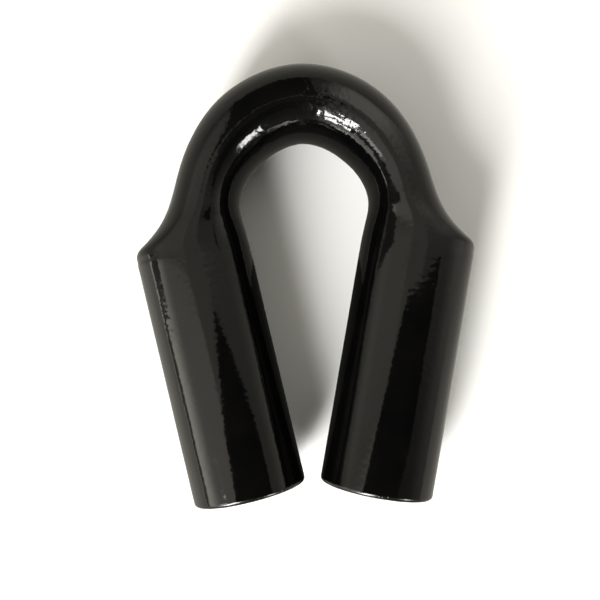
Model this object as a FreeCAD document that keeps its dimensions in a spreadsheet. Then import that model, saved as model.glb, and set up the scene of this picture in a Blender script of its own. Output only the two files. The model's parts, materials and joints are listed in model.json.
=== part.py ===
"""Tube thimble: the eye that a synthetic winch rope is spliced round.

Five pieces of steel tube work, in millimetres:
  crown_bend        the bent tube of the eye, squeezed thinner than the legs, with two flared mouths
  right_leg_tube    straight tube that the rope leaves through
  left_leg_tube     its mirror image
  right_weld        ring of weld metal in the V groove between the crown and the right leg
  left_weld         its mirror image

Frame: the origin is the centre of the eye, on the thimble's middle plane. +Y points at the top of
the crown, +Z is the axis of the eye, and +X points at the right leg.

Each leg leans in towards the +Y axis. A place beside a leg is given by its offset, measured down
the leg's direction from the line through the eye's centre square to that leg, and by its distance
from the eye's centre along that line.
"""

import FreeCAD, Part
import os

import Sketcher

os.makedirs("parts", exist_ok=True)

doc = FreeCAD.newDocument("tube_thimble")
SIDES = {"right": 1, "left": -1}


# ---------------------------------------------------------------- dimensions

# alias, value, meaning
DIMENSIONS = [
    ("tube_diameter", 21.3, "outside diameter of the leg tube"),
    ("wall", 2.3, "wall thickness of every tube"),
    ("lean", 11.55, "angle between each leg and the thimble's axis of symmetry, degrees"),
    ("leg_centre", 22.25, "distance of each leg's axis from the eye's centre"),
    ("leg_end", 49.8, "offset of the open end of a leg"),
    ("weld_centre", 5.0, "offset of the middle of a weld"),
    ("root_gap", 1.2, "gap between the two tubes at the root of a weld"),
    ("root_face", 0.8, "depth of the square edge left below each bevel"),
    ("bevel_run", 0.87, "length of each bevel along the tube"),
    ("rim_rounding", 0.8, "rounding of the outside edge of a leg's open end"),
    ("lip_rounding", 0.4, "rounding of the inside edge of a leg's open end"),
]

# The crown's cross sections are ellipses that stand on planes through the eye's axis.
# name, angle from the top of the crown in degrees, inner radius, outer radius, half width along Z
CROWN_SECTIONS = [
    ("top", 0, 12.4, 26.95, 11.6),
    ("haunch", 40, 11.8, 25.75, 11.28),
    ("waist", 74, 12.15, 24.55, 10.81),
    ("flare_root", 84, 12.2, 24.95, 10.72),
    ("flare_low", 91, 12.1, 26.0, 10.68),
    ("flare_high", 97, 12.0, 28.05, 10.66),
]

# The mouth's cross sections stand square to the leg.
# name, offset down the leg, inner distance, outer distance, half width along Z
MOUTH_SECTIONS = [
    ("shoulder_foot", 0.0, 11.85, 31.0, 10.65),
    ("shoulder_turn", 0.9, 11.72, 32.25, 10.65),
    ("shoulder_edge", 1.8, 11.64, 32.77, 10.65),
]

sheet = doc.addObject("Spreadsheet::Sheet", "Dimensions")


def write_row(row, cells, meaning=""):
    """Puts one row of (alias, value) cells into the sheet, after a note of what they mean."""
    sheet.set(f"A{row}", meaning)
    for column, (alias, value) in zip("BCDE", cells):
        sheet.set(f"{column}{row}", str(value))
        sheet.setAlias(f"{column}{row}", alias)


def fill_sheet():
    row = 1
    for alias, value, meaning in DIMENSIONS:
        write_row(row, [(alias, value)], meaning)
        row += 1
    for name, angle, inner, outer, half_width in CROWN_SECTIONS:
        cells = [("angle", angle), ("inner", inner), ("outer", outer), ("half_width", half_width)]
        write_row(row, [(f"{name}_{word}", value) for word, value in cells], f"crown section: {name}")
        row += 1
    for name, offset, inner, outer, half_width in MOUTH_SECTIONS:
        cells = [("offset", offset), ("inner", inner), ("outer", outer), ("half_width", half_width)]
        write_row(row, [(f"{name}_{word}", value) for word, value in cells], f"mouth section: {name}")
        row += 1
    doc.recompute()


def bind(item, **expressions):
    """Binds properties of an object to expressions over the sheet's cells."""
    for name, expression in expressions.items():
        item.setExpression(name, expression)


# ---------------------------------------------------------------- placing

LEG_ANGLE = "(90 + Dimensions.lean)"
BORE_RADIUS = "(Dimensions.tube_diameter / 2 - Dimensions.wall)"
TUBE_RADIUS = "(Dimensions.tube_diameter / 2)"
BEVEL_TIP_RADIUS = f"({BORE_RADIUS} + Dimensions.root_face)"
MOUTH_END = "(Dimensions.weld_centre - Dimensions.root_gap / 2)"
LEG_START = "(Dimensions.weld_centre + Dimensions.root_gap / 2)"
COLLAR_END = f"({MOUTH_END} - Dimensions.bevel_run)"


def about_eye(angle):
    """Placement that turns things by an angle about the eye's axis, from the top to the right."""
    return f"placement(vector(0; 0; 0); rotation(vector(0; 0; 1); -({angle})))"


def section_placement(side, angle, offset, centre):
    """Placement of an ellipse with its long axis along Z, at a distance from the eye's centre."""
    place = f"vector({side} * ({offset}); {centre}; 0)"
    return f"{about_eye(f'{side} * ({angle})')} * placement({place}; rotation(vector(0; 1; 0); -90))"


def leg_placement(side, offset):
    """Placement whose Z axis runs down a leg's axis from an offset, with its Y axis along Z."""
    across = f"vector({side} * ({offset}); Dimensions.leg_centre; 0)"
    turn = f"rotation(vector(0; 1; 0); {side} * 90)"
    return f"{about_eye(f'{side} * {LEG_ANGLE}')} * placement({across}; {turn})"


# ---------------------------------------------------------------- crown

def add_ellipse(name, side, station, angle, offset, skin):
    """One oval cross section of the crown, drawn a skin's thickness inside the outer surface."""
    ellipse = doc.addObject("Part::Ellipse", name)
    inner, outer = f"Dimensions.{station}_inner", f"Dimensions.{station}_outer"
    bind(
        ellipse,
        MajorRadius=f"Dimensions.{station}_half_width - {skin}",
        MinorRadius=f"({outer} - {inner}) / 2 - {skin}",
        Placement=section_placement(side, angle, offset, f"({inner} + {outer}) / 2"),
    )
    return ellipse


def add_collar(name, side, offset, skin):
    """The round cross section at the mouth's end, of the same size as the leg."""
    circle = doc.addObject("Part::Circle", name)
    bind(
        circle,
        Radius=f"{TUBE_RADIUS} - {skin}",
        Placement=section_placement(side, LEG_ANGLE, offset, "Dimensions.leg_centre"),
    )
    return circle


def half_sections(name, side_name, skin, end_offset):
    """Cross sections from the top of the crown down to one mouth."""
    side = SIDES[side_name]
    sections = []
    for station, *_ in CROWN_SECTIONS:
        angle = f"Dimensions.{station}_angle"
        sections.append(add_ellipse(f"{name}_{side_name}_{station}", side, station, angle, "0", skin))
    for station, *_ in MOUTH_SECTIONS:
        offset = f"Dimensions.{station}_offset"
        label = f"{name}_{side_name}_{station}"
        sections.append(add_ellipse(label, side, station, LEG_ANGLE, offset, skin))
    sections.append(add_collar(f"{name}_{side_name}_collar", side, end_offset, skin))
    return sections


def crown_loft(name, skin, end_offset):
    """Smooth solid through every cross section, from one mouth over the top to the other."""
    left = half_sections(name, "left", skin, end_offset)
    right = half_sections(name, "right", skin, end_offset)
    doc.removeObject(left[0].Name)
    loft = doc.addObject("Part::Loft", name)
    loft.Sections = left[:0:-1] + right
    loft.Solid = True
    return loft


def make_crown():
    outside = crown_loft("crown_outside", "0", COLLAR_END)
    passage = crown_loft("crown_passage", "Dimensions.wall", f"{MOUTH_END} + Dimensions.root_gap")
    noses = []
    for side_name, side in SIDES.items():
        nose = doc.addObject("Part::Cone", f"{side_name}_mouth_bevel")
        bind(
            nose,
            Radius1=TUBE_RADIUS,
            Radius2=BEVEL_TIP_RADIUS,
            Height="Dimensions.bevel_run",
            Placement=leg_placement(side, COLLAR_END),
        )
        noses.append(nose)
    solid = doc.addObject("Part::MultiFuse", "crown_solid")
    solid.Shapes = [outside] + noses
    crown = doc.addObject("Part::Cut", "crown_bend")
    crown.Base = solid
    crown.Tool = passage
    return crown


# ---------------------------------------------------------------- legs

def origin_plane(body, role):
    return next(item for item in body.Origin.OriginFeatures if item.Role == role)


def add_sketch(body, name, role):
    sketch = body.newObject("Sketcher::SketchObject", name)
    sketch.AttachmentSupport = [(origin_plane(body, role), "")]
    sketch.MapMode = "FlatFace"
    return sketch


def rim_edge(shape, height, radius):
    """Name of the circular edge of a tube at a height and with a radius."""
    near = 1e-3
    for number, edge in enumerate(shape.Edges, 1):
        if not isinstance(edge.Curve, Part.Circle) or not edge.isClosed():
            continue
        if abs(edge.CenterOfMass.z - height) < near and abs(edge.Curve.Radius - radius) < near:
            return f"Edge{number}"
    raise ValueError(f"no rim at height {height} with radius {radius}")


def make_leg(side_name, side):
    """Tube cut square at its open end, with a welding bevel at the end that meets the crown."""
    name = f"{side_name}_leg_tube"
    body = doc.addObject("PartDesign::Body", name)
    tube_radius = sheet.tube_diameter / 2
    bore_radius = tube_radius - sheet.wall
    sketch = add_sketch(body, f"{name}_ring", "XY_Plane")
    circles = [("outside", tube_radius, TUBE_RADIUS), ("bore", bore_radius, BORE_RADIUS)]
    for index, (word, radius, expression) in enumerate(circles):
        sketch.addGeometry(Part.Circle(FreeCAD.Vector(0, 0, 0), FreeCAD.Vector(0, 0, 1), radius), False)
        sketch.addConstraint(Sketcher.Constraint("Coincident", index, 3, -1, 1))
        number = sketch.addConstraint(Sketcher.Constraint("Radius", index, radius))
        sketch.renameConstraint(number, word)
        sketch.setExpression(f"Constraints.{word}", expression)
    pad = body.newObject("PartDesign::Pad", f"{name}_pad")
    pad.Profile = sketch
    pad.setExpression("Length", f"Dimensions.leg_end - {LEG_START}")
    doc.recompute()

    length = pad.Length.Value
    bevel = body.newObject("PartDesign::Chamfer", f"{name}_bevel")
    bevel.Base = (pad, [rim_edge(pad.Shape, 0, tube_radius)])
    bevel.ChamferType = "Two distances"
    bevel.setExpression("Size", "Dimensions.bevel_run")
    bevel.setExpression("Size2", "Dimensions.wall - Dimensions.root_face")
    doc.recompute()
    rim = body.newObject("PartDesign::Fillet", f"{name}_rim")
    rim.Base = (bevel, [rim_edge(bevel.Shape, length, tube_radius)])
    rim.setExpression("Radius", "Dimensions.rim_rounding")
    doc.recompute()
    lip = body.newObject("PartDesign::Fillet", f"{name}_lip")
    lip.Base = (rim, [rim_edge(rim.Shape, length, bore_radius)])
    lip.setExpression("Radius", "Dimensions.lip_rounding")
    body.setExpression("Placement", leg_placement(side, LEG_START))
    return body


# ---------------------------------------------------------------- welds

# the corners of one half of a weld's section: distance from the leg's axis, distance from its middle
GROOVE = [
    (BORE_RADIUS, "(Dimensions.root_gap / 2)"),
    (BEVEL_TIP_RADIUS, "(Dimensions.root_gap / 2)"),
    (TUBE_RADIUS, "(Dimensions.root_gap / 2 + Dimensions.bevel_run)"),
]


def groove_corners():
    """The same corners in millimetres, below the middle and then above it, in order round the section."""
    tube_radius = sheet.tube_diameter / 2
    bore_radius = tube_radius - sheet.wall
    half_root = sheet.root_gap / 2
    half_cap = half_root + sheet.bevel_run
    side = [(bore_radius, half_root), (bore_radius + sheet.root_face, half_root), (tube_radius, half_cap)]
    return [(radius, -height) for radius, height in side] + side[::-1]


def make_weld(side_name, side):
    """Ring of weld metal that fills the V groove flush with the tubes, turned about the leg's axis."""
    name = f"{side_name}_weld"
    body = doc.addObject("PartDesign::Body", name)
    sketch = add_sketch(body, f"{name}_groove", "XZ_Plane")
    corners = groove_corners()
    for start, end in zip(corners, corners[1:] + corners[:1]):
        sketch.addGeometry(Part.LineSegment(FreeCAD.Vector(*start, 0), FreeCAD.Vector(*end, 0)), False)
    for index in range(len(corners)):
        sketch.addConstraint(Sketcher.Constraint("Coincident", index, 2, (index + 1) % len(corners), 1))
    for index, ((radius, height), (across, along)) in enumerate(zip(corners, GROOVE + GROOVE[::-1])):
        number = sketch.addConstraint(Sketcher.Constraint("DistanceX", -1, 1, index, 1, radius))
        sketch.renameConstraint(number, f"radius_{index}")
        sketch.setExpression(f"Constraints.radius_{index}", across)
        ends = (index, 1, -1, 1) if height < 0 else (-1, 1, index, 1)
        number = sketch.addConstraint(Sketcher.Constraint("DistanceY", *ends, abs(height)))
        sketch.renameConstraint(number, f"height_{index}")
        sketch.setExpression(f"Constraints.height_{index}", along)
    turned = body.newObject("PartDesign::Revolution", f"{name}_ring")
    turned.Profile = sketch
    turned.ReferenceAxis = (sketch, ["V_Axis"])
    turned.Angle = 360
    body.setExpression("Placement", leg_placement(side, "Dimensions.weld_centre"))
    return body


# ---------------------------------------------------------------- model

def check_document():
    doc.recompute()
    for item in doc.Objects:
        if "Invalid" in item.State or "Error" in item.State:
            raise RuntimeError(f"{item.Name} failed: {item.State}")


def export(pieces):
    for piece in pieces:
        shape = piece.Shape
        if shape.isNull() or not shape.isValid() or len(shape.Solids) != 1:
            raise RuntimeError(f"{piece.Label} isn't one valid solid")
        shape.exportStep(f"parts/{piece.Label}.step")
        box = shape.BoundBox
        print(
            f"{piece.Label}: {shape.Volume:.0f} mm3,"
            f" x {box.XMin:.2f}..{box.XMax:.2f}, y {box.YMin:.2f}..{box.YMax:.2f},"
            f" z {box.ZMin:.2f}..{box.ZMax:.2f}"
        )


fill_sheet()
pieces = [make_crown()]
for side_name, side in SIDES.items():
    pieces.append(make_leg(side_name, side))
    pieces.append(make_weld(side_name, side))
check_document()
export(pieces)
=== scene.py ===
"""Tube thimble in gloss black enamel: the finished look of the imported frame.

The steel work is rebuilt as dense meshes that follow the CAD solids, with the small uneven shapes of
bent, welded, ground and painted tube. Sizes come from the frame, and lengths are in metres.
"""
import json
import math

import bpy
import numpy as np
from mathutils import Matrix, Vector, noise
from mathutils.bvhtree import BVHTree


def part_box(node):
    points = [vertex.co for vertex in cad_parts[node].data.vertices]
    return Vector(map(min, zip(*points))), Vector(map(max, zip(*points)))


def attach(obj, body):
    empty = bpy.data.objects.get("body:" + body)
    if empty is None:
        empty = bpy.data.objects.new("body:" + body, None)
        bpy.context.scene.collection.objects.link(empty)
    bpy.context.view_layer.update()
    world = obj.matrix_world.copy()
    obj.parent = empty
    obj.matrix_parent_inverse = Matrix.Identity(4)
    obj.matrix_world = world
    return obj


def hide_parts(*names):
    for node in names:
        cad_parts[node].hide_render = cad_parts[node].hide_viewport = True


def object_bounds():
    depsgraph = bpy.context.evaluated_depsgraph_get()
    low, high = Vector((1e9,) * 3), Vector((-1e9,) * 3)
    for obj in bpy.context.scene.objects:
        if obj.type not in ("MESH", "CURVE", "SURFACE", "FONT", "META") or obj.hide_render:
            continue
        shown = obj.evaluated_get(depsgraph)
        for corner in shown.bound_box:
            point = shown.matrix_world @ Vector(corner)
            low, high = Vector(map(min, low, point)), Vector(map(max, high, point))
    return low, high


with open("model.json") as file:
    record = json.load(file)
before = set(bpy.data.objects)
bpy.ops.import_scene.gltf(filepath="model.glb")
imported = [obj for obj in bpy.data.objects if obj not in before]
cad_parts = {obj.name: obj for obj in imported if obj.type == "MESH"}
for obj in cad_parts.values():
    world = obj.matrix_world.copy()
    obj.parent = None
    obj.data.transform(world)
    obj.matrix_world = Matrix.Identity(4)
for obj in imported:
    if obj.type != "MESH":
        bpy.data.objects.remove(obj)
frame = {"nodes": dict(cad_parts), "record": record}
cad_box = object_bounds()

MM = 0.001
SIDES = {"left": -1, "right": 1}


# ---------------------------------------------------------------- sizes read from the frame

MOUNTS = {mount["name"]: mount for mount in frame["record"]["mounts"]}
BORE_RADIUS = MOUNTS["right_bore"]["dims"]["r_mm"] * MM
LEG_WAY = Vector(MOUNTS["right_bore"]["axis"])
LEAN = math.atan2(-LEG_WAY.x, -LEG_WAY.y)
LEG_CENTRE = Vector(MOUNTS["right_bore"]["pos_m"]).dot(Vector((math.cos(LEAN), -math.sin(LEAN), 0)))
TUBE_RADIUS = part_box("right_leg_tube")[1].z
WALL = TUBE_RADIUS - BORE_RADIUS


def span_along_leg(node):
    """Lowest and highest offset of a node down the right leg, from level with the eye's centre."""
    along = [vertex.co.dot(LEG_WAY) for vertex in frame["nodes"][node].data.vertices]
    return min(along), max(along)


LEG_START, LEG_END = span_along_leg("right_leg_tube")
WELD_SPAN = span_along_leg("right_weld")
MOUTH_END = span_along_leg("crown_bend")[1]
WELD_MIDDLE = sum(WELD_SPAN) / 2

# roundings of a leg's cut end, outside and inside, and the square edge left under a weld's bevel
RIM_ROUNDING = 0.8 * MM
LIP_ROUNDING = 0.4 * MM
ROOT_FACE = 0.8 * MM


# ---------------------------------------------------------------- cross sections of the crown

# angles from the top of the crown where its cross section is read, in degrees
CROWN_ANGLES = (0, 20, 40, 58, 74, 84, 91, 97)
# offsets down the leg where the mouth's cross section is read, the last one on the round collar
MOUTH_OFFSETS = (0.0, 0.9 * MM, 1.8 * MM, 2.7 * MM)
# start of the rays that look back at the crown from outside
FAR = 100 * MM


def crown_tree():
    """The CAD crown, ready for rays."""
    mesh = frame["nodes"]["crown_bend"].data
    corners = [vertex.co.copy() for vertex in mesh.vertices]
    return BVHTree.FromPolygons(corners, [list(face.vertices) for face in mesh.polygons])


CROWN = crown_tree()


def hit_distance(start, way):
    """Distance from a point to the CAD crown."""
    return (CROWN.ray_cast(start, way)[0] - start).length


def read_section(angle, offset):
    """Place and half sizes of the crown's cross section on the right, at an angle and an offset."""
    across = Vector((math.sin(angle), math.cos(angle), 0))
    down = Vector((math.cos(angle), -math.sin(angle), 0))
    base = down * offset
    inner = hit_distance(base, across)
    outer = FAR - hit_distance(base + across * FAR, -across)
    middle = base + across * (inner + outer) / 2
    half_width = FAR - hit_distance(middle + Vector((0, 0, FAR)), Vector((0, 0, -1)))
    return middle, across, (outer - inner) / 2, half_width


def leg_section(offset, radius):
    """Place and half sizes of a round section about the right leg's axis, at an offset."""
    across = Vector((math.cos(LEAN), -math.sin(LEAN), 0))
    return LEG_WAY * offset + across * LEG_CENTRE, across, radius, radius


def right_stations():
    """Cross sections from the top of the crown to the full-round end of the right mouth."""
    stations = [read_section(math.radians(angle), 0) for angle in CROWN_ANGLES]
    leg_angle = math.pi / 2 + LEAN
    stations += [read_section(leg_angle, offset) for offset in MOUTH_OFFSETS]
    stations.append(leg_section(WELD_SPAN[0], TUBE_RADIUS))
    return stations


def step_up(value, low, high):
    """0 below low, 1 above high, and a smooth rise between."""
    t = min(max((value - low) / (high - low), 0.0), 1.0)
    return t * t * (3 - 2 * t)


# points round every ring, so that neighbouring pieces meet point to point
AROUND = 192
TURNS = np.linspace(0, 2 * math.pi, AROUND, endpoint=False)


def ring(station, skin=0.0):
    """Points of one cross section, from its outer edge over +Z to its inner edge and back."""
    middle, across, half_depth, half_width = station
    points = np.zeros((AROUND, 3))
    points += np.array(middle)
    points += np.outer((half_depth - skin) * np.cos(TURNS), np.array(across))
    points[:, 2] += (half_width - skin) * np.sin(TURNS)
    return points


def smooth_between(places, rows, wanted):
    """Natural cubic spline through rows of points at their places, read at the wanted places."""
    count = len(places)
    step = np.diff(places)
    system = np.eye(count)
    bend = np.zeros_like(rows)
    for i in range(1, count - 1):
        system[i, i - 1:i + 2] = step[i - 1], 2 * (step[i - 1] + step[i]), step[i]
        bend[i] = 6 * ((rows[i + 1] - rows[i]) / step[i] - (rows[i] - rows[i - 1]) / step[i - 1])
    moment = np.linalg.solve(system, bend.reshape(count, -1)).reshape(rows.shape)
    k = np.clip(np.searchsorted(places, wanted) - 1, 0, count - 2)
    before = (wanted - places[k])[:, None, None]
    after = (places[k + 1] - wanted)[:, None, None]
    width = step[k][:, None, None]
    curve = (moment[k] * after ** 3 + moment[k + 1] * before ** 3) / (6 * width)
    curve += (rows[k] / width - moment[k] * width / 6) * after
    curve += (rows[k + 1] / width - moment[k + 1] * width / 6) * before
    return curve


STATIONS = right_stations()
STATION_RINGS = np.array([ring(station) for station in STATIONS])
STATION_GAPS = np.linalg.norm(np.diff(STATION_RINGS, axis=0), axis=2).mean(axis=1)
# distance along the bend from the top of the crown to each station
STATION_PLACES = np.concatenate([[0], np.cumsum(STATION_GAPS)])
HALF_CROWN = STATION_PLACES[-1]


def crown_rings(places, skin=0.0):
    """Rings of the crown at places along the bend, which are negative on the left."""
    right = np.array([ring(station, skin) for station in STATIONS])
    left = right[:0:-1] * np.array([-1, 1, 1])
    spine = np.concatenate([-STATION_PLACES[:0:-1], STATION_PLACES])
    return smooth_between(spine, np.concatenate([left, right]), np.asarray(places))


def leg_rings(side, offsets, radii):
    """Rings about a leg's axis at offsets down the leg, with their radii."""
    rings = [ring(leg_section(offset, radius)) for offset, radius in zip(offsets, radii)]
    return np.array(rings) * np.array([side, 1, 1])


def place_of(side, offset):
    """Distance along the bend, negative on the left, of an offset down a leg."""
    return side * (HALF_CROWN + offset - WELD_SPAN[0])


def offset_of(place):
    """Offset down its leg of a distance along the bend."""
    return np.abs(place) - HALF_CROWN + WELD_SPAN[0]


def path_rings(places):
    """Rings of the plain outer surface at places along the crown and down both legs."""
    places = np.asarray(places, dtype=float)
    rings = crown_rings(np.clip(places, -HALF_CROWN, HALF_CROWN))
    beyond = np.maximum(np.abs(places) - HALF_CROWN, 0) * np.sign(places)
    step = beyond[:, None] * (np.array(LEG_WAY) * np.sign(places)[:, None])
    step[:, 0] *= np.sign(places)
    return rings + step[:, None, :]


# how far the change from bend to leg is spread, and how fast that dies away along the tube
EASE = 3.0 * MM
EASE_FADE = 6 * MM


def outer_rings(places):
    """The outer surface with its change from bend to straight leg eased over a few millimetres."""
    places = np.asarray(places, dtype=float)
    reach = EASE * np.exp(-(offset_of(places) / EASE_FADE) ** 2)
    eased = 0
    spots = np.linspace(-1.8, 1.8, 9)
    weights = np.exp(-spots ** 2 / 2)
    for spot, weight in zip(spots, weights / weights.sum()):
        eased = eased + weight * path_rings(places + reach * spot)
    # the outer corner of the shoulder stays as crisp as it is
    crisp = np.array([step_up(math.cos(turn), 0.2, 0.8) for turn in TURNS])[None, :, None]
    return eased * (1 - crisp) + path_rings(places) * crisp


# ---------------------------------------------------------------- relief of the painted surface

def wave(point, size, seed):
    """Smooth noise between about -1 and 1 whose bumps are about one size across."""
    return noise.noise(point / size + Vector((seed, -seed * 1.7, seed * 0.6)))


# heights of the relief, in metres
PEEL = 8.0e-6
MILL = 13.0e-6
DENT = 30.0e-6
WRINKLE = 20.0e-6
TORN = 30.0e-6
DRESSING = 20.0e-6
SAW_WAVE = 18e-6
# the cut face lies this much inside the CAD's, so that its waves stay inside too
SAW_DEPTH = 20e-6
# reach of a weld's ground band to each side of its middle
BAND = 2.0 * MM


def torn_share(place):
    """1 on the bend, falling to 0 towards the legs, where the metal wasn't torn."""
    return 1 - step_up(abs(place) / HALF_CROWN, 0.4, 0.75)


def relief(point, place, turn):
    """Height of the painted surface over the plain tube, in metres.

    place runs along the bend and legs, and turn goes round the section from its outer edge.
    """
    round_tube = Vector((math.cos(turn), math.sin(turn), 0)) * TUBE_RADIUS
    inward = step_up(-math.cos(turn), -0.3, 0.8)
    torn = torn_share(place)
    # orange peel of the paint, and small runs
    height = PEEL * wave(point, 0.95 * MM, 3) + 0.6 * PEEL * wave(point, 0.6 * MM, 8)
    # faint ridges that run along the tube, left by the mill
    mill = round_tube + Vector((0, 0, place * 0.12))
    height += MILL * wave(mill, 2.0 * MM, 11) + 0.45 * MILL * wave(mill, 1.0 * MM, 19)
    # slow dents and flats
    height += DENT * wave(point, 12 * MM, 27)
    # cross wrinkles and a torn grain where the bend pressed the metal together
    folds = round_tube * 0.35 + Vector((0, 0, place))
    height += torn * inward * WRINKLE * wave(folds, 2.2 * MM, 31)
    patch = 0.3 + 0.7 * step_up(wave(point, 6 * MM, 41), -0.25, 0.35)
    grain = wave(point, 0.95 * MM, 47) + 0.55 * wave(point, 0.6 * MM, 53)
    height += torn * (0.6 + 0.4 * inward) * patch * TORN * grain
    # the weld was ground flush by hand, which left a shallow uneven band
    band = math.exp(-((offset_of(place) - WELD_MIDDLE) / BAND) ** 2)
    facets = wave(round_tube + Vector((0, 0, place * 0.5)), 2.6 * MM, 61)
    return height + band * DRESSING * facets


def raised(rings, places, keep):
    """Outer surface moved out by the relief, with its normals, cut to the rings to keep.

    The rings run a little beyond the piece, so that normals agree with the neighbouring piece's.
    """
    height = [[relief(Vector(point), place, turn) for point, turn in zip(row, TURNS)]
              for row, place in zip(rings, places)]
    rings = rings + ring_normals(rings) * np.array(height)[:, :, None]
    return rings[keep], ring_normals(rings)[keep]


def ring_normals(rings):
    """Outward normals at the points of a run of rings."""
    along = np.gradient(rings, axis=0)
    round_way = np.roll(rings, -1, axis=1) - np.roll(rings, 1, axis=1)
    normal = np.cross(round_way, along)
    normal /= np.linalg.norm(normal, axis=2, keepdims=True)
    outward = rings - rings.mean(axis=1, keepdims=True)
    return normal * np.sign((normal * outward).sum(axis=2, keepdims=True))


# ---------------------------------------------------------------- meshes

class Shell:
    """A closed piece, built up ring by ring from its outside, over its end faces, through its bore."""

    def __init__(self, name):
        self.name = name
        self.rings = []
        self.normals = []
        self.bend = []
        self.cut = []
        self.inside = []

    def add(self, rings, places, normals=None, cut=0.0, inside=0.0):
        """Adds rings at their places. Without normals of their own they are shaded as usual."""
        for i, points in enumerate(rings):
            self.rings.append(points)
            self.normals.append(np.zeros_like(points) if normals is None else normals[i])
            self.bend.append([torn_share(places[i])] * AROUND)
            self.cut.append([cut] * AROUND)
            self.inside.append([inside] * AROUND)

    def build(self, node, materials):
        """Mesh whose rings are joined in a loop, with its shading, attributes, body and slot."""
        count = len(self.rings)
        faces = []
        for i in range(count):
            a, b = i * AROUND, (i + 1) % count * AROUND
            for j in range(AROUND):
                k = (j + 1) % AROUND
                faces.append((a + j, a + k, b + k, b + j))
        corners = np.concatenate(self.rings)
        mesh = bpy.data.meshes.new(self.name)
        mesh.from_pydata([tuple(point) for point in corners], [], faces)
        mesh.update()
        first = mesh.polygons[0]
        if first.normal.dot(Vector(self.normals[0][0])) < 0:
            mesh.flip_normals()
        mesh.shade_smooth()
        mesh.set_sharp_from_angle(angle=SHARP_ANGLE)
        mesh.normals_split_custom_set_from_vertices([tuple(n) for n in np.concatenate(self.normals)])
        for key in ("bend", "cut", "inside"):
            layer = mesh.attributes.new(key, "FLOAT", "POINT")
            layer.data.foreach_set("value", np.array(getattr(self, key), dtype=float).ravel())
        piece = bpy.data.objects.new(self.name, mesh)
        bpy.context.scene.collection.objects.link(piece)
        for material in materials:
            mesh.materials.append(material)
        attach(piece, "root")
        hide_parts(node)
        return piece


SHARP_ANGLE = math.radians(50)
CROWN_RINGS = 380
PASSAGE_RINGS = 90
LEG_RINGS = 250
BORE_RINGS = 70
WELD_RINGS = 16


def make_crown(materials):
    """The bend, whose ends have a bevel that the weld covers."""
    shell = Shell("painted_crown")
    places = np.linspace(-HALF_CROWN, HALF_CROWN, CROWN_RINGS)
    beyond = 0.2 * MM
    longer = np.concatenate([[places[0] - beyond], places, [places[-1] + beyond]])
    outer, normals = raised(outer_rings(longer), longer, slice(1, -1))
    shell.add(outer, places, normals)
    nose = [place_of(1, MOUTH_END)]
    for radius in (BORE_RADIUS + ROOT_FACE, BORE_RADIUS):
        shell.add(leg_rings(1, [MOUTH_END], [radius]), nose)
    back = np.linspace(HALF_CROWN, -HALF_CROWN, PASSAGE_RINGS)
    shell.add(crown_rings(back, WALL), back, inside=1.0)
    for radius in (BORE_RADIUS, BORE_RADIUS + ROOT_FACE):
        shell.add(leg_rings(-1, [MOUTH_END], [radius]), nose)
    return shell.build("crown_bend", materials)


def outer_wall(side, start, end, count):
    """Raised outer surface of a weld or leg between two offsets, with its places and normals."""
    step = (end - start) / (count - 1)
    offsets = np.linspace(start - step, end + step, count + 2)
    places = [place_of(side, offset) for offset in offsets]
    outer, normals = raised(outer_rings(places), places, slice(1, -1))
    return outer, places[1:-1], normals


def make_weld(side_name, materials):
    """The bead in the V between crown and leg, ground flush."""
    side = SIDES[side_name]
    shell = Shell(f"painted_{side_name}_weld")
    outer, places, normals = outer_wall(side, *WELD_SPAN, WELD_RINGS)
    shell.add(outer, places, normals)
    for offset, radius in ((LEG_START, BORE_RADIUS + ROOT_FACE), (LEG_START, BORE_RADIUS),
                           (MOUTH_END, BORE_RADIUS), (MOUTH_END, BORE_RADIUS + ROOT_FACE)):
        shell.add(leg_rings(side, [offset], [radius]), [place_of(side, offset)], inside=1.0)
    return shell.build(f"{side_name}_weld", materials)


def rim_profile():
    """Offsets and radii over a leg's cut end: a rounded rim, a flat face and a rounded lip."""
    quarter = np.linspace(0, math.pi / 2, 8)
    foot = TUBE_RADIUS - RIM_ROUNDING
    lip = BORE_RADIUS + LIP_ROUNDING
    rim = [(LEG_END - RIM_ROUNDING * (1 - math.sin(t)), foot + RIM_ROUNDING * math.cos(t))
           for t in quarter]
    face = [(LEG_END, radius) for radius in np.linspace(foot, lip, 9)[1:-1]]
    edge = [(LEG_END - LIP_ROUNDING * (1 - math.cos(t)), lip - LIP_ROUNDING * math.sin(t))
            for t in quarter]
    return rim + face + edge


def make_leg(side_name, materials):
    """The straight tube, whose cut end shows its wall and bore."""
    side = SIDES[side_name]
    shell = Shell(f"painted_{side_name}_leg")
    outer, places, normals = outer_wall(side, WELD_SPAN[1], LEG_END - RIM_ROUNDING, LEG_RINGS)
    # the last ring is shared with the rounded rim, so it is shaded as the rim is
    normals[-1] = 0
    shell.add(outer, places, normals)
    profile = rim_profile()
    offsets = [offset for offset, _ in profile]
    rings = leg_rings(side, offsets, [radius for _, radius in profile])
    places = [place_of(side, offset) for offset in offsets]
    wall = leg_rings(side, offsets, [TUBE_RADIUS] * len(offsets))
    # the outside's relief runs on over the rounded rim and fades out on the flat face
    carry = outer[-1] - wall[0]
    for i, (_, radius) in enumerate(profile):
        fade = step_up(radius, TUBE_RADIUS - 1.4 * RIM_ROUNDING, TUBE_RADIUS)
        rings[i] += carry * fade + end_roughness(rings[i], side)
    shell.add(rings[1:], places[1:], cut=1.0)
    bore = np.linspace(LEG_END - LIP_ROUNDING, LEG_START, BORE_RINGS)[1:]
    places = [place_of(side, offset) for offset in bore]
    shell.add(leg_rings(side, bore, [BORE_RADIUS] * len(bore)), places, inside=1.0)
    root = leg_rings(side, [LEG_START], [BORE_RADIUS + ROOT_FACE])
    shell.add(root, places[-1:], inside=1.0)
    return shell.build(f"{side_name}_leg_tube", materials)


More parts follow.
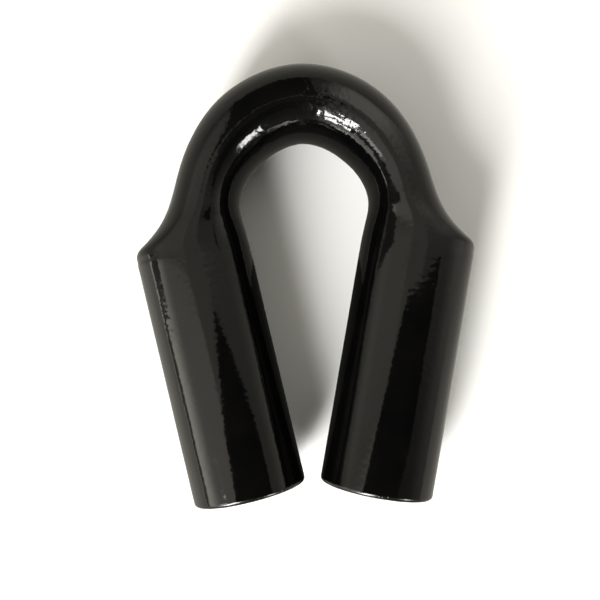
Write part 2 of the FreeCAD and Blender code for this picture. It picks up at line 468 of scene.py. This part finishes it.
def end_roughness(points, side):
    """Waviness of the saw cut across a leg's end, moving points along the leg."""
    way = np.array(LEG_WAY) * np.array([side, 1, 1])
    depth = [SAW_WAVE * wave(Vector(point), 1.6 * MM, 71) - SAW_DEPTH for point in points]
    return np.outer(depth, way)


# ---------------------------------------------------------------- materials

def socket(node, name, value):
    node.inputs[name].default_value = value


class Recipe:
    """Small helper that strings together the nodes of one material."""

    def __init__(self, name):
        self.material = bpy.data.materials.new(name)
        self.material.use_nodes = True
        self.nodes = self.material.node_tree.nodes
        self.links = self.material.node_tree.links
        self.shader = self.nodes["Principled BSDF"]
        self.place = self.nodes.new("ShaderNodeTexCoord").outputs["Object"]

    def feed(self, value, node, name):
        if isinstance(value, (int, float)):
            node.inputs[name].default_value = value
        else:
            self.links.new(value, node.inputs[name])

    def noise(self, size, detail=2.0):
        """Noise texture whose bumps are about one size across."""
        texture = self.nodes.new("ShaderNodeTexNoise")
        self.links.new(self.place, texture.inputs["Vector"])
        socket(texture, "Scale", 1 / size)
        socket(texture, "Detail", detail)
        return texture.outputs["Fac"]

    def cells(self, size):
        """Distance from the middle of cells about one size across."""
        texture = self.nodes.new("ShaderNodeTexVoronoi")
        self.links.new(self.place, texture.inputs["Vector"])
        socket(texture, "Scale", 1 / size)
        return texture.outputs["Distance"]

    def ramp(self, value, low, high, start=0.0, end=1.0):
        node = self.nodes.new("ShaderNodeMapRange")
        for name, number in zip(("Value", "From Min", "From Max", "To Min", "To Max"),
                                (value, low, high, start, end)):
            self.feed(number, node, name)
        return node.outputs["Result"]

    def math(self, operation, first, second=0.0):
        node = self.nodes.new("ShaderNodeMath")
        node.operation = operation
        for i, value in enumerate((first, second)):
            self.feed(value, node, i)
        return node.outputs["Value"]

    def attribute(self, name):
        node = self.nodes.new("ShaderNodeAttribute")
        node.attribute_name = name
        return node.outputs["Fac"]

    def mix(self, factor, first, second):
        node = self.nodes.new("ShaderNodeMix")
        node.data_type = "RGBA"
        self.feed(factor, node, "Factor")
        for i, colour in ((6, first), (7, second)):
            if isinstance(colour, tuple):
                node.inputs[i].default_value = (*colour, 1)
            else:
                self.links.new(colour, node.inputs[i])
        return node.outputs[2]

    def bump(self, height, distance, normal=None):
        node = self.nodes.new("ShaderNodeBump")
        socket(node, "Distance", distance)
        self.feed(height, node, "Height")
        if normal is not None:
            self.links.new(normal, node.inputs["Normal"])
        return node.outputs["Normal"]


BLACK = (0.0008, 0.0008, 0.0009)
WORN_BLACK = (0.0016, 0.0015, 0.0014)
BARE_STEEL = (0.33, 0.32, 0.31)


def gloss_black_enamel():
    """Gloss black paint: orange peel, dust nibs, a torn grain on the bend, satin inside the bore."""
    paint = Recipe("gloss_black_enamel")
    shader = paint.shader
    socket(shader, "IOR", 1.5)
    bend, cut, inside = [paint.attribute(name) for name in ("bend", "cut", "inside")]

    worn = paint.ramp(paint.noise(6 * MM, 4), 0.35, 0.7)
    colour = paint.mix(worn, BLACK, WORN_BLACK)
    # tiny chips on the cut rim that show bare steel
    chips = paint.ramp(paint.noise(0.5 * MM, 3), 0.7, 0.72)
    bare = paint.math("MULTIPLY", chips, cut)
    paint.links.new(paint.mix(bare, colour, BARE_STEEL), shader.inputs["Base Color"])

    gloss = paint.ramp(paint.noise(4 * MM, 5), 0.3, 0.75, 0.06, 0.12)
    dull = paint.math("MAXIMUM", inside, paint.math("MULTIPLY", cut, 0.5))
    satin = paint.math("MULTIPLY", dull, 0.3)
    paint.links.new(paint.math("ADD", gloss, satin), shader.inputs["Roughness"])

    peel = paint.bump(paint.noise(0.55 * MM, 2), 3.0e-6)
    grain = paint.math("MULTIPLY", paint.noise(0.4 * MM, 2), paint.ramp(bend, 0, 1, 0.1, 1))
    torn = paint.bump(grain, 13.0e-6, peel)
    specks = paint.ramp(paint.cells(2.6 * MM), 0.03, 0.09, 1, 0)
    nibs = paint.bump(specks, 10e-6, torn)
    paint.links.new(nibs, shader.inputs["Normal"])
    return paint.material


# ---------------------------------------------------------------- studio

# the camera looks straight down, a little off the middle of the part and slightly turned
CAMERA_HEIGHT = 197 * MM
CAMERA_SHIFT = Vector((-1.35, -3.0, 0)) * MM
CAMERA_ROLL = math.radians(-1.8)
LENS = 62.7
WARM = (1.0, 0.97, 0.85)
WINDOW = (1.0, 0.99, 0.96)
PANEL_DISTANCE = 1.2
FLOOR_REACH = 3.0
FLOOR_COLOUR = (0.82, 0.82, 0.82, 1)


def add_mesh(name, corners, faces):
    """A plain mesh in the scene."""
    mesh = bpy.data.meshes.new(name)
    mesh.from_pydata(corners, [], faces)
    mesh.update()
    item = bpy.data.objects.new(name, mesh)
    bpy.context.scene.collection.objects.link(item)
    return item


def emitter(name, colour, strength):
    """Material that glows evenly and reflects nothing."""
    material = bpy.data.materials.new(name)
    material.use_nodes = True
    nodes, links = material.node_tree.nodes, material.node_tree.links
    nodes.clear()
    glow = nodes.new("ShaderNodeEmission")
    glow.inputs["Color"].default_value = (*colour, 1)
    glow.inputs["Strength"].default_value = strength
    output = nodes.new("ShaderNodeOutputMaterial")
    links.new(glow.outputs["Emission"], output.inputs["Surface"])
    return material


def add_flag(name, corners, strength, middle=None):
    """Dark card that shows only as a dark shape in the gloss, as a painted dark reflection: the
    camera, diffuse light and shadows don't see it. Corners are in millimetres.

    Corners at different heights need a middle point, which they fan out from.
    """
    points = [Vector(corner) * MM for corner in corners]
    count = len(points)
    faces = [tuple(range(count))]
    if middle is not None:
        points.append(Vector(middle) * MM)
        faces = [(i, (i + 1) % count, count) for i in range(count)]
    flag = add_mesh(name, points, faces)
    # the card's faint even glow is a painted dark reflection, seen only in the gloss
    flag.data.materials.append(emitter(f"{name}_painted_dark_reflection", WARM, strength))
    flag.visible_camera = False
    flag.visible_diffuse = False
    flag.visible_shadow = False


def add_softbox(name, azimuth, polar, half_angles, strength):
    """Lit panel far off in a direction, facing the object. Angles are in degrees."""
    way = Vector((0, 0, 1))
    way.rotate(Matrix.Rotation(math.radians(polar), 3, "Y"))
    way.rotate(Matrix.Rotation(math.radians(azimuth), 3, "Z"))
    across, up = [PANEL_DISTANCE * math.tan(math.radians(half)) for half in half_angles]
    data = bpy.data.lights.new(name, "AREA")
    data.shape = "RECTANGLE"
    data.size, data.size_y = 2 * across, 2 * up
    data.energy = strength * math.pi * data.size * data.size_y
    data.color = WINDOW
    light = bpy.data.objects.new(name, data)
    light.location = way * PANEL_DISTANCE
    light.rotation_euler = way.to_track_quat("Z", "Y").to_euler()
    bpy.context.scene.collection.objects.link(light)


def add_floor(height):
    """Plain pale floor, which the gloss doesn't reflect."""
    signs = ((-1, -1), (1, -1), (1, 1), (-1, 1))
    corners = [(x * FLOOR_REACH, y * FLOOR_REACH, height) for x, y in signs]
    floor = add_mesh("floor", corners, [(0, 1, 2, 3)])
    material = bpy.data.materials.new("pale_floor")
    material.use_nodes = True
    shader = material.node_tree.nodes["Principled BSDF"]
    socket(shader, "Base Color", FLOOR_COLOUR)
    socket(shader, "Roughness", 0.7)
    floor.data.materials.append(material)
    floor.visible_glossy = False


# brightness of the room round the object: azimuth in degrees from +X, and strength above the horizon
ROOM = (
    (-180, 0.55), (-174, 1.0), (-165, 1.1), (-150, 1.1), (-128, 1.0), (-112, 0.5), (-100, 0.08),
    (-62, 0.08), (-35, 0.08), (-18, 0.15), (-6, 0.32), (15, 0.38), (28, 0.75), (42, 1.5), (62, 1.4),
    (76, 0.3), (126, 0.2), (136, 0.55), (155, 0.7), (168, 0.75), (176, 0.66), (180, 0.55),
)
CEILING = 0.55
BACKDROP = 0.85


def add_world():
    """Soft light of an uneven room with a pale table below, and a plain backdrop for the camera."""
    world = bpy.data.worlds.new("room")
    bpy.context.scene.world = world
    world.use_nodes = True
    nodes, links = world.node_tree.nodes, world.node_tree.links
    background = nodes["Background"]
    split = nodes.new("ShaderNodeSeparateXYZ")
    links.new(nodes.new("ShaderNodeTexCoord").outputs["Generated"], split.inputs["Vector"])
    x, y, z = [split.outputs[axis] for axis in "XYZ"]

    def maths(operation, first, second=0.0):
        node = nodes.new("ShaderNodeMath")
        node.operation = operation
        for i, value in enumerate((first, second)):
            if isinstance(value, (int, float)):
                node.inputs[i].default_value = value
            else:
                links.new(value, node.inputs[i])
        return node.outputs["Value"]

    def remap(value, low, high, start, end):
        node = nodes.new("ShaderNodeMapRange")
        node.interpolation_type = "SMOOTHSTEP"
        links.new(value, node.inputs["Value"])
        for name, number in zip(("From Min", "From Max", "To Min", "To Max"), (low, high, start, end)):
            node.inputs[name].default_value = number
        return node.outputs["Result"]

    turn = maths("ADD", maths("DIVIDE", maths("ARCTAN2", y, x), 2 * math.pi), 0.5)
    ramp = nodes.new("ShaderNodeValToRGB")
    ramp.color_ramp.interpolation = "LINEAR"
    stops = ramp.color_ramp.elements
    for azimuth, strength in ROOM[1:-1]:
        stops.new(azimuth / 360 + 0.5).color = (strength, strength, strength, 1)
    stops[0].color = (ROOM[0][1],) * 3 + (1,)
    stops[len(stops) - 1].color = (ROOM[-1][1],) * 3 + (1,)
    links.new(turn, ramp.inputs["Fac"])
    # brighter low down at the front and sides, dimmer low down behind
    low_down = remap(z, 0.05, 0.55, 1.0, 0.0)
    behind = remap(y, 0.05, 0.4, 0.0, 1.0)
    # all sides of the room meet in one even ceiling
    overhead = remap(maths("ADD", z, remap(y, 0.0, 0.1, 0.0, 0.03)), 0.96, 0.987, 0.0, 1.0)
    walls = maths("MULTIPLY", ramp.outputs["Color"], maths("SUBTRACT", 1.0, overhead))
    walls = maths("ADD", walls, maths("MULTIPLY", overhead, CEILING))
    lift = maths("SUBTRACT", 1.1, maths("MULTIPLY", behind, 1.5))
    # dimmer low down on the left
    left_wall = maths("MULTIPLY", remap(y, -0.12, 0.0, 0.0, 1.0), remap(x, -0.3, -0.6, 0.0, 1.0))
    lift = maths("SUBTRACT", lift, maths("MULTIPLY", left_wall, maths("ADD", lift, 0.6)))
    room = maths("MULTIPLY", walls, maths("ADD", 1.0, maths("MULTIPLY", low_down, lift)))
    # a glow on the far left
    glow = maths("MULTIPLY", remap(x, -0.75, -0.95, 0.0, 0.4), remap(z, 0.72, 0.3, 0.0, 1.0))
    room = maths("MULTIPLY", room, maths("ADD", 1.0, glow))
    # the pale table: brightest at the lower left, and its far edge shows above the horizon behind
    table = maths("MULTIPLY", remap(x, -0.5, -0.9, 0.0, 0.3), remap(y, 0.0, -0.15, 0.0, 1.0))
    table = maths("ADD", table, maths("SUBTRACT", 0.58, remap(y, -0.05, 0.3, 0.0, 0.22)))
    table = maths("SUBTRACT", table, remap(y, -0.5, -0.8, 0.0, 0.35))
    edge = remap(y, 0.5, 0.8, 0.0, 0.26)
    above = remap(maths("SUBTRACT", z, edge), -0.14, -0.07, 0.0, 1.0)
    upper = maths("MULTIPLY", room, above)
    lower = maths("MULTIPLY", table, maths("SUBTRACT", 1.0, above))
    # a dark strip at the foot of the wall on the left, which widens upwards at its far end
    spread = remap(y, -0.2, -0.165, 0.0, 1.0)
    middle = maths("SUBTRACT", maths("MULTIPLY", spread, 0.15), 0.03)
    half = maths("ADD", 0.055, maths("MULTIPLY", spread, 0.08))
    beside = maths("SUBTRACT", maths("ABSOLUTE", maths("SUBTRACT", z, middle)), half)
    strip = remap(beside, 0.0, 0.02, 1.0, 0.0)
    strip = maths("MULTIPLY", strip, remap(y, -0.03, -0.07, 0.0, 1.0))
    strip = maths("MULTIPLY", strip, remap(x, -0.85, -0.8, 1.0, 0.0))
    lit = maths("SUBTRACT", 1.0, maths("MULTIPLY", strip, 0.9))
    room_light = maths("MULTIPLY", maths("ADD", upper, lower), lit)
    # what the camera sees past the floor is a plain pale backdrop
    seen = nodes.new("ShaderNodeLightPath").outputs["Is Camera Ray"]
    hidden = maths("MULTIPLY", room_light, maths("SUBTRACT", 1.0, seen))
    backdrop = maths("MULTIPLY", seen, BACKDROP)
    links.new(maths("ADD", hidden, backdrop), background.inputs["Strength"])
    background.inputs["Color"].default_value = (*WARM, 1)


def add_camera():
    """Camera above the middle of the CAD box."""
    low, high = cad_box
    data = bpy.data.cameras.new("camera")
    data.lens = LENS
    data.clip_start = 0.005
    camera = bpy.data.objects.new("camera", data)
    middle = (Vector(low) + Vector(high)) / 2
    camera.location = (middle.x + CAMERA_SHIFT.x, middle.y + CAMERA_SHIFT.y, CAMERA_HEIGHT)
    camera.rotation_euler = (0, 0, CAMERA_ROLL)
    bpy.context.scene.collection.objects.link(camera)
    bpy.context.scene.camera = camera


# ---------------------------------------------------------------- build

enamel = gloss_black_enamel()
make_crown([enamel])
for side_name in SIDES:
    make_weld(side_name, [enamel])
    make_leg(side_name, [enamel])

add_camera()
add_world()
FLOOR = cad_box[0][2]
add_floor(FLOOR)
add_softbox("south_west_window", -118, 57, (8.5, 18), 36)
add_softbox("south_west_curtain", -143, 57, (7, 9), 4)
add_softbox("south_east_window", -48, 73, (6, 8), 20)
# the cards below are painted dark reflections, seen only in the gloss; the last two paint the floor's
# shade into it
# starts in front of the part, on the side of the open legs, and slopes up to the right
FRONT_CARD = [(-66, -100, 90), (-40, -56, 90), (6, -13, 90), (215, -30, 201), (215, -120, 201),
              (30, -100, 110)]
add_flag("front_card", FRONT_CARD, 0.025, middle=(60, -60, 140))
# level card over the top of the part, which widens away behind it
REAR_CARD = [(-60, 26, 203), (-18, 17, 203), (14, 14, 203), (110, 1200, 203), (-900, 1200, 203)]
add_flag("rear_card", REAR_CARD, 0.05)
# arc that shows only along the ridge of the bend
RIDGE_TURNS = [math.radians(angle) for angle in (76, 90, 105, 120, 135, 150)]
RIDGE = [(17.2, turn) for turn in RIDGE_TURNS] + [(7.5, turn) for turn in reversed(RIDGE_TURNS)]
RIDGE_CARD = [(reach * math.cos(turn), reach * math.sin(turn), 50) for reach, turn in RIDGE]
add_flag("ridge_card", RIDGE_CARD, 0.06)
# leans towards the right arm, and is edge-on to the left arm
ARM_CARD = [(-13, -6), (7, -2), (7, 0), (-13, 0)]
add_flag("arm_card", [(x, y, 19.2 + 0.57 * x) for x, y in ARM_CARD], 0.1)
# the shade under the eye and between the legs, because the gloss doesn't see the floor
SHADE = FLOOR / MM + 0.1
EYE_SHADE = [(-20, -8), (20, -8), (16, 8), (0, 15), (-16, 8)]
GAP_SHADE = [(-12, -60), (12, -60), (22, -8), (-22, -8)]
add_flag("eye_shade", [(x, y, SHADE) for x, y in EYE_SHADE], 0.12)
add_flag("gap_shade", [(x, y, SHADE) for x, y in GAP_SHADE], 0.03)

bpy.context.scene.view_settings.view_transform = "Standard"
